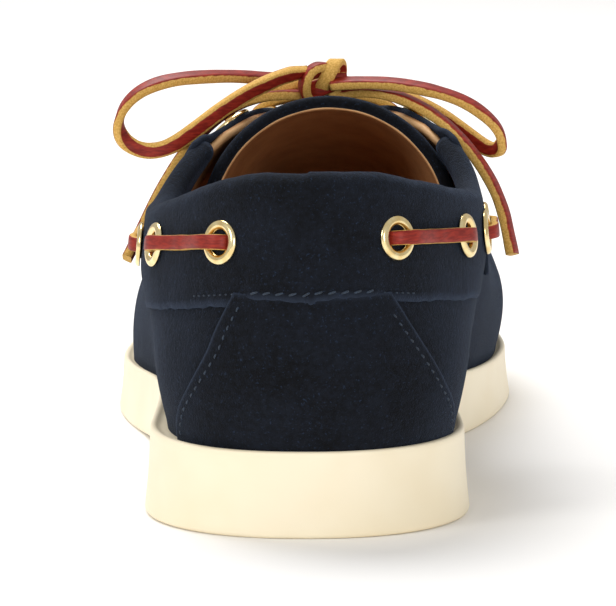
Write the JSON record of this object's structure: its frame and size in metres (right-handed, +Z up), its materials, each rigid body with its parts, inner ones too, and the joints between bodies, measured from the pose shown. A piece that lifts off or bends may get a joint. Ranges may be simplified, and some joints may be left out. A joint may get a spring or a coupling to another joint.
{
  "type": "boat shoe",
  "caption": "Low suede boat shoe for the left foot, with a hollow upper, flat rubber sole, brass eyelets and a leather lace tied in a bow.",
  "frame": {"origin": "floor level, under the middle of the shoe's box; the sole stands on z = 0", "axes": "+Z up, +Y from the heel to the toe, +X towards the inner side of the foot"},
  "size_m": [0.1074, 0.298, 0.102],
  "materials": {
    "sole_rubber": "cream moulded rubber, satin",
    "suede": "dark navy suede, matt nap",
    "lining_leather": "tan lining leather, smooth",
    "brass": "polished",
    "lace_leather": "red-brown leather thong with a raw golden back, semi-gloss"
  },
  "bodies": {
    "root": {"outsole": "sole_rubber", "insole": "lining_leather", "upper": "suede", "collar_band": "suede", "heel_counter": "suede", "eyestay": "suede", "tongue": "suede", "eyelet_back_inner_medial": "brass", "eyelet_back_outer_medial": "brass", "eyelet_side_back_medial": "brass", "eyelet_side_front_medial": "brass", "eyelet_throat_top_medial": "brass", "eyelet_throat_front_medial": "brass", "eyelet_back_inner_lateral": "brass", "eyelet_back_outer_lateral": "brass", "eyelet_side_back_lateral": "brass", "eyelet_side_front_lateral": "brass", "eyelet_throat_top_lateral": "brass", "eyelet_throat_front_lateral": "brass", "lace_bar_back_medial": "lace_leather", "lace_bar_side_medial": "lace_leather", "lace_bar_back_lateral": "lace_leather", "lace_bar_side_lateral": "lace_leather", "lace_bar_front": "lace_leather", "lace_knot": "lace_leather", "lace_loop_lateral": "lace_leather", "lace_loop_medial": "lace_leather", "lace_end_lateral": "lace_leather", "lace_end_medial": "lace_leather"}
  },
  "joints": []
}
